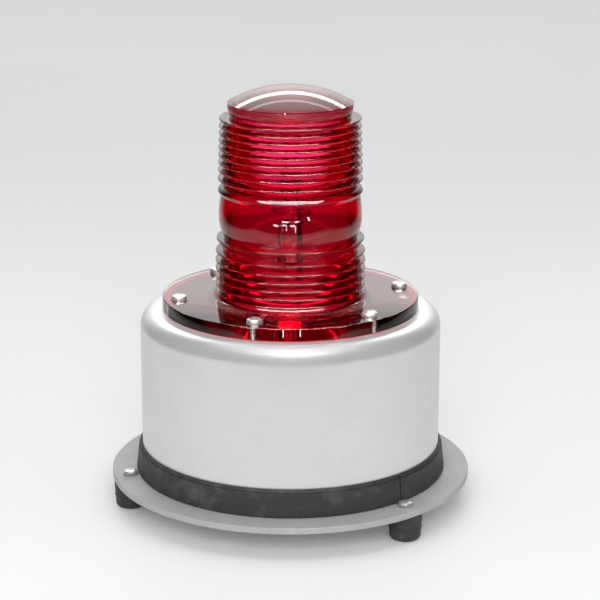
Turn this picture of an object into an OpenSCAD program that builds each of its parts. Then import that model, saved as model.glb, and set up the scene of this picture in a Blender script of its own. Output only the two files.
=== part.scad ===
// Strobe warning light: a red ribbed glass lens on a silver can, a round base plate and three rubber feet.
// Millimetres, +Z up. The origin is on the floor, below the centre of the lens.
// The cable entry is at the back, towards +Y. The lens and the feet are set out on multiples of 60 degrees.

/* [Base plate] */
// Thickness of the base plate
plate_t = 4.4; // [3:0.1:6]
// Chamfer on the edges of the base plate
plate_chamfer = 0.5; // [0.2:0.1:1]

/* [Feet] */
// Height of a rubber foot
foot_h = 19; // [15:0.5:30]
// Diameter of a foot where it meets the plate
foot_top_d = 23; // [20:0.2:26]
// Diameter of a foot near the floor
foot_low_d = 21.4; // [19:0.2:23]
// Rounding of a foot's lower edge
foot_round = 3.5; // [1:0.25:4]
// Height of the moulding line round a foot
foot_seam_z = 9; // [6:0.5:12]
// Gap between the band and the washer above a foot
foot_gap = 0.2; // [0.1:0.1:6]
// Depth of the nut recess in a foot
foot_recess = 7; // [6:0.5:9]
// Diameter of the nut recess in a foot
foot_recess_d = 11; // [10.6:0.2:12]

/* [Can] */
// Outer diameter of the can
can_d = 210.8; // [208:0.2:214]
// Height of the can above the base plate
can_h = 116.4; // [108:0.2:130]
// Sheet thickness of the can
can_t = 1.6; // [1:0.1:2]
// Outer radius of the can's shoulder
can_shoulder = 12; // [6:0.5:15]
// Diameter of the opening in the can's top, under the lens
can_hole_d = 116; // [110:1:130]

/* [Rubber edge band] */
// Height of the band on the can's foot
band_h = 19.4; // [14:0.2:24]
// Thickness of the band at its foot
band_foot_t = 4.4; // [3:0.1:4.6]
// Thickness of the band under its top lip
band_top_t = 2.7; // [2:0.1:3]
// Height of the sloping lip at the top of the band
band_lip = 2.3; // [1:0.1:3]
// Depth of the groove under that lip
band_groove = 0.6; // [0.2:0.1:1]
// Gap between the band's lip and the can
band_gap = 0.5; // [0.2:0.1:0.8]
// Rounding of the band's lower edge
band_round = 1.3; // [0.5:0.1:2]
// Thickness of the web under the can's edge
band_web = 1.6; // [1:0.1:2.5]
// Width of the open joint in the band
band_split = 0.9; // [0.3:0.1:1.2]
// Angle of the joint in the band
band_split_angle = -59; // [-59:1:-52]

/* [Lens] */
// Diameter of the lens flange
flange_d = 179.8; // [176:0.2:182]
// Thickness of the lens flange
flange_t = 8.5; // [6:0.5:12]
// Distance of the lens screws from the flange's edge
flange_screw_inset = 10.9; // [9:0.1:14]
// Rounding of the flange's upper edge
flange_round = 0.8; // [0.4:0.1:2]
// Radius of the cove between the flange and the lens
lens_cove = 3; // [1.5:0.5:4]
// Outer radius of the lower ribs
lower_rib_r = 52.4; // [51:0.1:54]
// Number of lower ribs
lower_ribs = 7; // [5:1:7]
// Pitch of the lower ribs, far from the bulge
lower_pitch = 5.45; // [5:0.05:5.6]
// Outer radius of the upper rib next to the bulge
upper_rib_r = 50.3; // [49:0.1:52]
// Number of upper ribs
upper_ribs = 10; // [8:1:10]
// Pitch of the upper ribs, far from the bulge
upper_pitch = 5; // [4.6:0.05:5.4]
// Draft of the upper ribs, taken off the radius at each rib
upper_draft = 0.15; // [0.05:0.05:0.2]
// Extra height that the wider ribs beside the bulge add
rib_spread = 4.95; // [3:0.05:6]
// Depth of the grooves between the ribs
rib_depth = 4.6; // [3:0.1:5]
// Share of the gap between two ribs, from below, at which a groove is deepest
groove_share = 0.25; // [0.15:0.05:0.6]
// The same share for the wide groove above the lip over the bulge
lip_share = 0.53; // [0.4:0.01:0.6]
// Nose radius of a rib
rib_nose = 0.9; // [0.6:0.1:1.1]
// Radius of the clear bulge at its middle
bulge_r = 49.8; // [49:0.1:51]
// Height of the bulge's middle above the flange's underside
bulge_z = 64.2; // [63:0.1:66]
// Radius lost at the bulge's lower end
bulge_fall_low = 3.5; // [2.5:0.1:4]
// Radius lost at the bulge's upper end
bulge_fall_up = 1.6; // [1:0.1:2]
// Height of the bulge below its middle
bulge_low = 13.6; // [12:0.1:14]
// Height of the bulge above its middle
bulge_up = 15.9; // [14:0.1:17]
// Radius of the cap where it rises from the ribs
cap_foot_r = 41.4; // [40.5:0.1:43]
// Radius of the cap's rim
cap_rim_r = 43.3; // [42:0.1:45]
// Height of the cap's side
cap_side_h = 9.5; // [6:0.5:14]
// Radius of the domed top
dome_r = 86.2; // [80:0.2:110]
// Thickness of the domed top in its middle, down to its flat inner face
dome_t = 13.2; // [12:0.2:16]
// Inner radius of the lens at the flange
lens_in_low = 43.5; // [42:0.1:45]
// Inner radius of the lens under the cap
lens_in_top = 37.8; // [36:0.1:38.5]
// Thickness of the lens gasket
gasket_t = 1; // [0.8:0.1:2]
// Width by which the gasket stays inside the flange's edge
gasket_inset = 2; // [1:0.5:4]

/* [Fasteners] */
// Diameter of the large screws
big_screw_d = 5; // [4:0.5:6]
// Head diameter of the large screws
big_head_d = 10.8; // [9:0.2:11]
// Head height of the large screws
big_head_h = 2.7; // [2.4:0.1:4]
// Head diameter of the foot screws
foot_head_d = 10.4; // [9:0.2:11]
// Head height of the foot screws
foot_head_h = 2.5; // [2.2:0.1:4]
// Diameter of the washers under the large screws
big_washer_d = 11; // [10.6:0.2:11.4]
// Thickness of those washers
big_washer_t = 1; // [0.6:0.1:1.2]
// Height of the large nuts
big_nut_h = 4; // [3:0.5:5]
// Width across the flats of the large nuts
big_nut_af = 8; // [7:0.5:9]
// Diameter of the small screws
small_screw_d = 4; // [3:0.5:4]
// Head diameter of the small screws
small_head_d = 7.6; // [7:0.2:8]
// Head height of the small screws
small_head_h = 2.6; // [2:0.1:3]
// Fullness of a pan head's crown, where 1 is a plain dome and less is flatter
pan_crown = 0.8; // [0.4:0.05:1]
// Height of the small nuts
small_nut_h = 3.2; // [2.4:0.2:4]
// Width across the flats of the small nuts
small_nut_af = 7; // [6:0.5:7.5]
// Radial clearance of a screw in a plain hole
hole_gap = 0.25; // [0.1:0.05:0.4]
// Radial clearance between a screw and its nut
thread_gap = 0.05; // [0.02:0.01:0.1]

/* [Flash tube] */
// Distance of the tube deck's top below the can's top
deck_drop = 2.9; // [2:0.1:8]
// Diameter of the tube deck
deck_d = 104; // [98:1:108]
// Thickness of the tube deck
deck_t = 1.5; // [1:0.1:3]
// Radius at which the pillars stand
pillar_ring_r = 44; // [40:1:46]
// Diameter of a pillar
pillar_d = 10; // [8:0.5:11]
// Gap between the tube's base and the heads of the socket's screws
socket_gap = 0.5; // [0.5:0.5:3]
// Width of the socket's flange outside its screws
socket_rim = 4; // [4:0.5:7]
// Thickness of the socket's flange
socket_flange_t = 3; // [2:0.5:5]
// Diameter of the socket's body
socket_body_d = 32; // [28:1:34]
// Depth of the socket's body below the deck
socket_body_h = 14; // [13:0.5:20]
// Diameter of the tube's plug-in base
base_d = 34; // [30:1:34]
// Height of the tube's plug-in base
base_h = 8; // [6:0.5:12]
// Diameter of a plug pin
pin_d = 3; // [2.5:0.1:3.5]
// Length of a plug pin
pin_l = 12; // [8:0.5:14]
// Radial clearance of a pin in its socket
pin_gap = 0.08; // [0.04:0.01:0.1]
// Distance between the two main pins, which are below the two support rods
rod_pitch = 12.7; // [11:0.1:13]
// Distance of the trigger pin from the middle
trigger_offset = 9; // [8:0.5:11]
// Diameter of a support rod
rod_d = 3.4; // [2.5:0.1:4]
// Diameter of the trigger wire
trigger_d = 1.4; // [1:0.1:2]
// Middle radius of the flash tube's coil
coil_r = 12.5; // [12:0.1:16]
// Thickness of the flash tube
coil_d = 5; // [4:0.1:5.5]
// Rise of the coil in one turn
coil_pitch = 7; // [6:0.1:9]
// Half turns of the coil
coil_half_turns = 7; // [5:2:9]
// Height of the coil's lowest turn above the tube deck
coil_rise = 64.5; // [58:0.5:72]
// Diameter of an electrode cap
electrode_d = 6.4; // [6:0.1:6.6]
// Length of an electrode cap
electrode_l = 10; // [8:0.5:12]

/* [Power unit] */
// Size of the circuit board across the light
board_x = 48; // [46:1:50]
// Size of the circuit board along the light
board_y = 68; // [64:1:70]
// Thickness of the circuit board
board_t = 1.6; // [1:0.1:2.4]
// Height of the board above the base plate
board_z = 12; // [8:0.5:20]
// Diameter of a storage capacitor
cap_d = 35; // [30:1:36]
// Height of a storage capacitor
cap_h = 62; // [45:1:80]
// Width of the capacitor clamps
clamp_h = 14; // [10:1:20]
// Wall of the capacitor clamps
clamp_t = 1.2; // [1:0.1:2]
// Width of the transformer core
core_x = 46; // [40:1:48]
// Depth of the transformer core
core_y = 26; // [20:1:28]
// Height of the transformer core
core_z = 38; // [34:1:44]
// Length of the terminal block
terminal_x = 34; // [30:1:36]
// Width of the terminal block
terminal_y = 17; // [14:1:18]
// Height of the terminal block
terminal_z = 14; // [12:1:20]
// Diameter of the fuse
fuse_d = 5; // [4.5:0.1:5.5]
// Length of the fuse
fuse_l = 20; // [18:0.5:22]
// Diameter of the trimmer's rotor
rotor_d = 6; // [5:0.1:7]
// Bore of the cable grommet
cable_bore_d = 8; // [6:0.5:10]
// Flange diameter of the cable grommet
grommet_flange_d = 24; // [22:1:28]
// Length of the cable grommet
grommet_l = 14; // [12:1:16]
// Height of the cable entry above the base plate
cable_z = 42; // [34:1:50]
// Diameter of the internal wires
wire_d = 2.2; // [1.6:0.1:2.6]

/* [Hidden] */
$fn = 96;
EPS = 0.01;

// Heights in the light's own frame
plate_z = foot_h;
deck_level = foot_h + plate_t;
can_top = deck_level + can_h;
flange_z = can_top + gasket_t;
lamp_deck_z = can_top - deck_drop;
socket_top = lamp_deck_z + socket_flange_t;
base_top = socket_top + base_h;
coil_base = lamp_deck_z + coil_rise;
board_top = deck_level + board_z + board_t;

// Radii
can_r = can_d / 2;
can_in_r = can_r - can_t;
band_r = can_r + band_foot_t;
foot_ring_r = band_r + foot_gap + big_washer_d / 2;
plate_r = foot_ring_r + foot_top_d / 2;
lens_screw_r = flange_d / 2 - flange_screw_inset;
foot_angles = [60, 180, 300];
lens_angles = [for (i = [0:5]) 60 * i];
big_hole_r = big_screw_d / 2 + hole_gap;
small_hole_r = small_screw_d / 2 + hole_gap;

// Pins and screws of the flash tube's socket
socket_nut_af = small_nut_af - 1;
socket_head_d = small_head_d - 0.6;
socket_screw_r = max(base_d / 2 + socket_gap + socket_head_d / 2,
    socket_body_d / 2 + 1 + socket_nut_af / 2 / cos(30));
socket_flange_d = 2 * (socket_screw_r + socket_rim);
pin_places = [[-rod_pitch / 2, 0], [rod_pitch / 2, 0], [0, -trigger_offset]];
rod_sink = 4;
electrode_drop = 9;
cup_depth = 3;
electrode_z = [for (rise = [0, coil_pitch * coil_half_turns / 2])
    coil_base + rise - electrode_drop - electrode_l];

// Inner layout on the base plate
pillar_thread = 8;
board_thread = 4;
block_thread = 2.5;
bracket_angles = [20, 140, 260];
bracket_span = 14;
weld_gap = 0.1;
bracket_t = 1.6;
bracket_h = 22;
bracket_foot = 20;
bracket_screw_r = can_in_r - 11;
pillar_angles = [30, 150, 270];
cap_places = [[8, 62], [-32, 60]];
clamp_ear = 9;
core_place = [-58, -30];
frame_t = 1.5;
frame_foot = 10;
board_place = [54, -22];
board_inset = 4;
board_left = board_place[0] - board_x / 2;
board_right = board_place[0] + board_x / 2;
board_front = board_place[1] - board_y / 2;
board_back = board_place[1] + board_y / 2;
board_holes = [for (x = [board_left + board_inset, board_right - board_inset])
    for (y = [board_front + board_inset, board_back - board_inset]) [x, y]];
terminal_place = [49, 62];
terminal_pitch = 9.5;
earth_place = [70, 42];
clamp_place = [30, 86];
grommet_hole_d = grommet_flange_d - 6;
trimmer_place = [board_left + 12, board_back - 12];
trimmer_size = 9.5;
trimmer_h = 5;
rotor_sunk = 3;
rotor_proud = 1.2;
rotor_gap = 0.08;
fuse_place = [board_right - 8, board_front + 44];
fuse_lift = 5;
fuse_end_l = 5;
fuse_gap = 0.05;
clip_t = 0.6;
clip_w = 4;

// Clamp and frame feet that take a screw and a nut
cap_ears = [for (c = cap_places) for (s = [-1, 1])
    [c[0], c[1] + s * (cap_d / 2 + clamp_t + clamp_ear / 2)]];
frame_ears = [for (s = [-1, 1])
    [core_place[0] + s * (core_x / 2 + frame_t + frame_foot / 2), core_place[1]]];
terminal_ears = [for (s = [-1, 1]) [terminal_place[0] + s * (terminal_x / 2 - 3), terminal_place[1]]];
cord_ears = [for (s = [-1, 1]) [clamp_place[0] + s * 9, clamp_place[1]]];
nut_places = concat(
    [for (e = cap_ears) [e[0], e[1], clamp_t]],
    [for (e = frame_ears) [e[0], e[1], frame_t]]);

// Shapes of the lens
lower_top_z = flange_t + lens_cove - 0.1 + lower_pitch * (lower_ribs - 1)
    + rib_spread * (1 - pow(3, 1 - lower_ribs));
lip_rise = 2.96;
upper_first_z = bulge_z + bulge_up + lip_rise;
rib_top_z = upper_first_z + upper_pitch * (upper_ribs - 1) + rib_spread * (1 - pow(3, 1 - upper_ribs));
cap_rise = 1.4;
cap_foot_z = rib_top_z + cap_rise;
cap_rim_z = cap_foot_z + cap_side_h;
dome_centre_z = cap_rim_z - sqrt(dome_r * dome_r - cap_rim_r * cap_rim_r);
inner_top_z = dome_centre_z + dome_r - dome_t;
inner_round = 2;
edge_foot = 0.6;
edge_lean = 0.35;
cove_sunk = 0.4;
lip_turn = 49;
cap_flare = [0, 0.12, 0.25, 0.4, 0.6, 0.8];

// A pan head's upright edge and cross slot, as shares of its height and diameter
head_edge = 0.22;
slot_reach = 0.36;
slot_w = 0.08;
slot_floor = 0.6;

function polar(r, a) = [r * cos(a), r * sin(a)];
function arc(cx, cy, r, a0, a1, n) = [for (i = [0:n]) [cx, cy] + polar(r, a0 + (a1 - a0) * i / n)];

// Height and radius of rib k, counted away from the bulge
function lower_z(k) = lower_top_z - lower_pitch * k - rib_spread * (1 - pow(3, -k));
function upper_z(k) = upper_first_z + upper_pitch * k + rib_spread * (1 - pow(3, -k));
function lower_r(k) = lower_rib_r - pow(3, -k);
function upper_r(k) = upper_rib_r - upper_draft * k;
function nose(r, z, end = 75) = arc(r - rib_nose, z, rib_nose, -75, end, 6);
function groove(r, z0, z1, share) =
    [[r - rib_depth, z0 + rib_nose + share * (z1 - z0 - 2 * rib_nose)]];
function bulge(z) = z < bulge_z
    ? bulge_r - bulge_fall_low * pow((bulge_z - z) / bulge_low, 2)
    : bulge_r - bulge_fall_up * pow((z - bulge_z) / bulge_up, 2);

function lens_foot() = concat(
    [[lens_in_low, 0], [flange_d / 2, 0], [flange_d / 2, edge_foot]],
    arc(flange_d / 2 - edge_lean - flange_round, flange_t - flange_round, flange_round, 0, 90, 4),
    arc(lower_rib_r - cove_sunk + lens_cove, flange_t + lens_cove, lens_cove, -90, -170, 5));
function lower_part() = [for (k = [lower_ribs - 1:-1:0])
    each concat(
        nose(lower_r(k), lower_z(k)),
        k > 0 ? groove(lower_r(k), lower_z(k), lower_z(k - 1), groove_share) : [])];
function bulge_part() = [for (i = [0:14])
    let(z = bulge_z - bulge_low + (bulge_low + bulge_up) * i / 14) [bulge(z), z]];
function upper_part() = [for (k = [0:upper_ribs - 1])
    each concat(
        k > 0 ? groove(upper_r(k), upper_z(k - 1), upper_z(k), k > 1 ? groove_share : lip_share) : [],
        nose(upper_r(k), upper_z(k), k > 0 ? 75 : lip_turn))];
function cap_part() = let(rim = asin(cap_rim_r / dome_r)) concat(
    [for (t = cap_flare)
        [cap_rim_r + (cap_foot_r - cap_rim_r) * pow(1 - t, 3), cap_foot_z + cap_side_h * t]],
    [for (i = [0:10]) let(a = rim * (1 - i / 10)) [dome_r * sin(a), dome_centre_z + dome_r * cos(a)]]);
function inner_part() = concat(
    [[0, inner_top_z]],
    arc(lens_in_top - inner_round, inner_top_z - inner_round, inner_round, 90, 0, 4));

// A tube swept along a route of points
function unit(v) = v / norm(v);
function tangents(p) = let(last = len(p) - 1)
    [for (i = [0:last]) unit(p[min(i + 1, last)] - p[max(i - 1, 0)])];
function normals(t, start) = [for (n = unit(start - (start * t[0]) * t[0]), i = 0; i < len(t);
    n = i + 1 < len(t) ? unit(n - (n * t[i + 1]) * t[i + 1]) : n, i = i + 1) n];
module swept(path, r, sides, start = [0.31, 0.95, 0.1]) {
    t = tangents(path);
    n = normals(t, start);
    last = (len(path) - 1) * sides;
    points = [for (i = [0:len(path) - 1]) for (k = [0:sides - 1])
        path[i] + r * (cos(360 * k / sides) * n[i] + sin(360 * k / sides) * cross(t[i], n[i]))];
    walls = [for (i = [0:len(path) - 2]) for (k = [0:sides - 1])
        let(a = i * sides + k, b = i * sides + (k + 1) % sides)
        each [[a, a + sides, b + sides], [a, b + sides, b]]];
    ends = [for (k = [1:sides - 2]) each [[0, k, k + 1], [last, last + k + 1, last + k]]];
    polyhedron(points, concat(walls, ends), convexity = 6);
}
// Points on a smooth bend through a, b and c
function bend(a, b, c, n) = [for (i = [0:n]) let(t = i / n)
    (1 - t) * (1 - t) * a + 2 * t * (1 - t) * b + t * t * c];

// Fasteners: the head stands on z = 0 and the shank goes down
module head(d, h, crown) {
    foot = head_edge * h;
    difference() {
        rotate_extrude()
            polygon(concat([[0, 0], [d / 2, 0], [d / 2, foot]],
                [for (i = [1:6])
                    [d / 2 * pow(cos(15 * i), crown), foot + (h - foot) * pow(sin(15 * i), crown)]]));
        for (a = [0, 90]) rotate([0, 0, a])
            translate([-d * slot_reach / 2, -d * slot_w / 2, h * slot_floor])
                cube([d * slot_reach, d * slot_w, h]);
    }
}
module screw(d, length, head_d, head_h, crown = pan_crown) {
    head(head_d, head_h, crown);
    translate([0, 0, -length]) cylinder(h = length + EPS, d = d);
}
module washer(d, hole_r, t) {
    difference() {
        cylinder(h = t, d = d);
        translate([0, 0, -1]) cylinder(h = t + 2, r = hole_r);
    }
}
module nut(af, hole_r, h) {
    difference() {
        cylinder(h = h, d = af / cos(30), $fn = 6);
        translate([0, 0, -1]) cylinder(h = h + 2, r = hole_r);
    }
}
module around(angles, r) {
    for (a = angles) rotate([0, 0, a]) translate([r, 0, 0]) children();
}
module at(places) {
    for (p = places) translate([p[0], p[1], 0]) children();
}
module drill(r, z0, z1) {
    translate([0, 0, z0]) cylinder(h = z1 - z0, r = r);
}

// Base plate, feet and their fasteners
module base_plate() {
    color("silver") difference() {
        rotate_extrude() polygon([
            [0, plate_z], [plate_r - plate_chamfer, plate_z], [plate_r, plate_z + plate_chamfer],
            [plate_r, deck_level - plate_chamfer], [plate_r - plate_chamfer, deck_level],
            [0, deck_level]]);
        around(foot_angles, foot_ring_r) drill(big_hole_r, plate_z - 1, deck_level + 1);
        around(bracket_angles, bracket_screw_r) drill(small_hole_r, plate_z - 1, deck_level + 1);
        around(pillar_angles, pillar_ring_r) drill(small_hole_r, plate_z - 1, deck_level + 1);
        at(concat(nut_places, board_holes, terminal_ears, cord_ears, [earth_place]))
            drill(small_hole_r, plate_z - 1, deck_level + 1);
    }
}
module feet() {
    seam = 0.35;
    foot_top_z = foot_h - 4;
    function side_r(z) = foot_low_d / 2
        + (foot_top_d - foot_low_d) / 2 * (z - foot_round) / (foot_top_z - foot_round);
    color([0.2, 0.2, 0.2]) around(foot_angles, foot_ring_r) rotate_extrude() polygon(concat(
        [[big_hole_r, foot_h], [big_hole_r, foot_recess], [foot_recess_d / 2, foot_recess]],
        [[foot_recess_d / 2, 0]],
        arc(foot_low_d / 2 - foot_round, foot_round, foot_round, -90, 0, 6),
        [for (p = [[-seam, 0], [0, seam], [seam, 0]])
            [side_r(foot_seam_z + p[0]) + p[1], foot_seam_z + p[0]]],
        [[foot_top_d / 2, foot_top_z], [foot_top_d / 2, foot_h]]));
}
module foot_screws() {
    reach = big_washer_t + plate_t + foot_h - foot_recess + big_washer_t + big_nut_h + 0.5;
    color("gainsboro") around(foot_angles, foot_ring_r)
        translate([0, 0, deck_level + big_washer_t]) rotate([0, 0, 20])
            screw(big_screw_d, reach, foot_head_d, foot_head_h, 1);
}
module foot_washers() {
    color("lightgray") around(foot_angles, foot_ring_r) {
        translate([0, 0, deck_level]) washer(big_washer_d, big_hole_r, big_washer_t);
        translate([0, 0, foot_recess - big_washer_t])
            washer(foot_recess_d - 0.6, big_hole_r, big_washer_t);
    }
}
module foot_nuts() {
    color("gainsboro") around(foot_angles, foot_ring_r)
        translate([0, 0, foot_recess - big_washer_t - big_nut_h])
            nut(big_nut_af, big_screw_d / 2 + thread_gap, big_nut_h);
}

// Rubber band that the can's edge stands in
module edge_band() {
    gap = 0.1;
    bead_z = band_h - band_lip;
    bead_r = can_r + band_top_t - 0.2;
    color([0.25, 0.25, 0.25]) difference() {
        translate([0, 0, deck_level]) rotate_extrude() polygon(concat(
            [[can_in_r, 0]],
            arc(band_r - band_round, band_round, band_round, -90, 0, 4),
            [[can_r + band_top_t, bead_z - band_groove], [bead_r - band_groove, bead_z]],
            [[bead_r, bead_z + 0.4]],
            [[can_r + band_gap + 0.5, band_h], [can_r + band_gap, band_h], [can_r + gap, band_h - 4]],
            [[can_r + gap, band_web], [can_in_r, band_web]]));
        rotate([0, 0, band_split_angle]) translate([can_in_r - 5, -band_split / 2, deck_level - 1])
            cube([15 + band_foot_t, band_split, band_h + 2]);
    }
}

// Spun can and what holds it down
module can() {
    inner_shoulder = can_shoulder - can_t;
    color([0.8, 0.8, 0.81]) difference() {
        rotate_extrude() polygon(concat(
            [[can_in_r, deck_level + band_web], [can_r, deck_level + band_web]],
            arc(can_r - can_shoulder, can_top - can_shoulder, can_shoulder, 0, 90, 12),
            [[can_hole_d / 2, can_top], [can_hole_d / 2, can_top - can_t]],
            arc(can_r - can_shoulder, can_top - can_shoulder, inner_shoulder, 90, 0, 12)));
        around(lens_angles, lens_screw_r) drill(big_hole_r, can_top - 5, can_top + 5);
        translate([0, 0, deck_level + cable_z]) rotate([-90, 0, 0])
            cylinder(h = can_r + 10, d = grommet_hole_d);
    }
}
module can_brackets() {
    z0 = deck_level;
    outer = can_in_r - weld_gap;
    color("silver") for (a = bracket_angles) rotate([0, 0, a]) difference() {
        union() {
            rotate([0, 0, -bracket_span / 2]) rotate_extrude(angle = bracket_span) polygon([
                [outer - bracket_foot, z0], [outer, z0], [outer, z0 + bracket_h],
                [outer - bracket_t, z0 + bracket_h], [outer - bracket_t, z0 + bracket_t],
                [outer - bracket_foot, z0 + bracket_t]]);
            translate([bracket_screw_r, 0, z0 + bracket_t - EPS])
                cylinder(h = small_nut_h, d = small_nut_af);
        }
        translate([bracket_screw_r, 0, 0])
            drill(small_screw_d / 2 + thread_gap, z0 - 1, z0 + bracket_t + small_nut_h + 1);
    }
}

// Lens, its gasket and its six screws
module lens() {
    color([0.78, 0.02, 0.2, 0.75]) difference() {
        translate([0, 0, flange_z]) rotate_extrude() polygon(concat(
            lens_foot(), lower_part(), bulge_part(), upper_part(), cap_part(), inner_part()));
        around(lens_angles, lens_screw_r) drill(big_hole_r, flange_z - 1, flange_z + flange_t + 1);
    }
}
module lens_gasket() {
    color([0.6, 0.05, 0.1]) difference() {
        translate([0, 0, can_top]) difference() {
            cylinder(h = gasket_t, d = flange_d - 2 * gasket_inset);
            translate([0, 0, -1]) cylinder(h = gasket_t + 2, d = can_hole_d);
        }
        around(lens_angles, lens_screw_r) drill(big_hole_r, can_top - 1, flange_z + 1);
    }
}
module lens_screws() {
    reach = big_washer_t + flange_t + gasket_t + can_t + big_nut_h + 1.5;
    color("gainsboro") for (i = [0:5]) rotate([0, 0, lens_angles[i]])
        translate([lens_screw_r, 0, flange_z + flange_t + big_washer_t])
            rotate([0, 0, 37 * i]) screw(big_screw_d, reach, big_head_d, big_head_h);
}
module lens_washers() {
    color("lightgray") around(lens_angles, lens_screw_r)
        translate([0, 0, flange_z + flange_t]) washer(big_washer_d, big_hole_r, big_washer_t);
}
module lens_nuts() {
    color("gainsboro") around(lens_angles, lens_screw_r)
        translate([0, 0, can_top - can_t - big_nut_h])
            nut(big_nut_af, big_screw_d / 2 + thread_gap, big_nut_h);
}

// Cable entry at the back and the clamp behind it
module cable_grommet() {
    neck_d = grommet_hole_d - 0.2;
    sag = can_in_r - sqrt(can_in_r * can_in_r - grommet_flange_d * grommet_flange_d / 4);
    sheet = can_t + sag + 0.2;
    outer = can_r + 0.1 + (grommet_l - sheet) / 2;
    color([0.12, 0.12, 0.12]) translate([0, 0, deck_level + cable_z]) rotate([-90, 0, 0])
        translate([0, 0, outer - grommet_l]) rotate_extrude() polygon([
            [cable_bore_d / 2, 0], [grommet_flange_d / 2 - 1.5, 0],
            [grommet_flange_d / 2, (grommet_l - sheet) / 2 - 1.5],
            [grommet_flange_d / 2, (grommet_l - sheet) / 2], [neck_d / 2, (grommet_l - sheet) / 2],
            [neck_d / 2, (grommet_l + sheet) / 2], [grommet_flange_d / 2, (grommet_l + sheet) / 2],
            [grommet_flange_d / 2, (grommet_l + sheet) / 2 + 1.5], [grommet_flange_d / 2 - 1.5, grommet_l],
            [cable_bore_d / 2, grommet_l]]);
}
module cord_clamp() {
    length = 26;
    width = 9;
    height = cable_bore_d + 3;
    color([0.16, 0.16, 0.17]) difference() {
        translate([clamp_place[0] - length / 2, clamp_place[1] - width / 2, deck_level])
            cube([length, width, height]);
        translate([clamp_place[0], clamp_place[1] - width, deck_level + 1.5 + cable_bore_d / 2])
            rotate([-90, 0, 0]) cylinder(h = 2 * width, d = cable_bore_d);
        at(cord_ears) drill(small_screw_d / 2 + thread_gap, deck_level - 1, deck_level + height - 2);
    }
}

// Pillars, deck and socket that carry the flash tube
module pillars() {
    length = lamp_deck_z - deck_t - deck_level;
    color("silver") around(pillar_angles, pillar_ring_r) difference() {
        drill(pillar_d / 2, deck_level, deck_level + length);
        drill(small_screw_d / 2 + thread_gap, deck_level - 1, deck_level + pillar_thread + 2);
        drill(small_screw_d / 2 + thread_gap, deck_level + length - pillar_thread - 2,
            deck_level + length + 1);
    }
}
module tube_deck() {
    color([0.92, 0.91, 0.88]) difference() {
        translate([0, 0, lamp_deck_z - deck_t]) cylinder(h = deck_t, d = deck_d);
        drill(socket_body_d / 2 + hole_gap, lamp_deck_z - deck_t - 1, lamp_deck_z + 1);
        around(pillar_angles, pillar_ring_r) drill(small_hole_r, lamp_deck_z - 5, lamp_deck_z + 1);
        around([0, 180], socket_screw_r) drill(small_hole_r, lamp_deck_z - 5, lamp_deck_z + 1);
    }
}
module deck_screws() {
    color("gainsboro") around(pillar_angles, pillar_ring_r)
        translate([0, 0, lamp_deck_z])
            screw(small_screw_d, deck_t + pillar_thread, small_head_d, small_head_h);
}
module tube_socket() {
    color([0.88, 0.86, 0.8]) difference() {
        union() {
            translate([0, 0, lamp_deck_z]) cylinder(h = socket_flange_t, d = socket_flange_d);
            translate([0, 0, lamp_deck_z - socket_body_h])
                cylinder(h = socket_body_h + EPS, d = socket_body_d);
        }
        at(pin_places) drill(pin_d / 2 + pin_gap, socket_top - pin_l - 1, socket_top + 1);
        around([0, 180], socket_screw_r) drill(small_hole_r, lamp_deck_z - 1, socket_top + 1);
    }
}
module socket_screws() {
    reach = socket_flange_t + deck_t + small_nut_h + 1;
    color("gainsboro") around([0, 180], socket_screw_r) translate([0, 0, socket_top])
        screw(small_screw_d, reach, socket_head_d, small_head_h - 0.4);
}
module socket_nuts() {
    color("gainsboro") around([0, 180], socket_screw_r)
        translate([0, 0, lamp_deck_z - deck_t - small_nut_h])
            nut(socket_nut_af, small_screw_d / 2 + thread_gap, small_nut_h);
}

// Flash tube that plugs into the socket
module tube_base() {
    color([0.3, 0.16, 0.1]) difference() {
        translate([0, 0, socket_top]) rotate_extrude() polygon([
            [0, 0], [base_d / 2, 0], [base_d / 2, base_h - 1.5], [base_d / 2 - 1.5, base_h], [0, base_h]]);
        at([pin_places[0], pin_places[1]]) drill(rod_d / 2, base_top - rod_sink, base_top + 1);
        at([pin_places[2]]) drill(trigger_d / 2, base_top - rod_sink, base_top + 1);
        at(pin_places) drill(pin_d / 2, socket_top - 1, socket_top + 3);
    }
}
module tube_pins() {
    color("gold") at(pin_places) translate([0, 0, socket_top - pin_l]) {
        cylinder(h = 1, d1 = pin_d - 1, d2 = pin_d);
        translate([0, 0, 1]) cylinder(h = pin_l + 2, d = pin_d);
    }
}
module tube_rods() {
    color([0.25, 0.25, 0.26]) for (i = [0, 1]) translate([pin_places[i][0], 0, 0])
        drill(rod_d / 2, base_top - rod_sink, electrode_z[i]);
}
module tube_electrodes() {
    color([0.45, 0.45, 0.46]) for (i = [0, 1]) translate([pin_places[i][0], 0, electrode_z[i]])
        difference() {
            cylinder(h = electrode_l, d = electrode_d);
            translate([0, 0, electrode_l - cup_depth]) cylinder(h = cup_depth + 1, d = coil_d + 0.1);
        }
}
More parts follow.
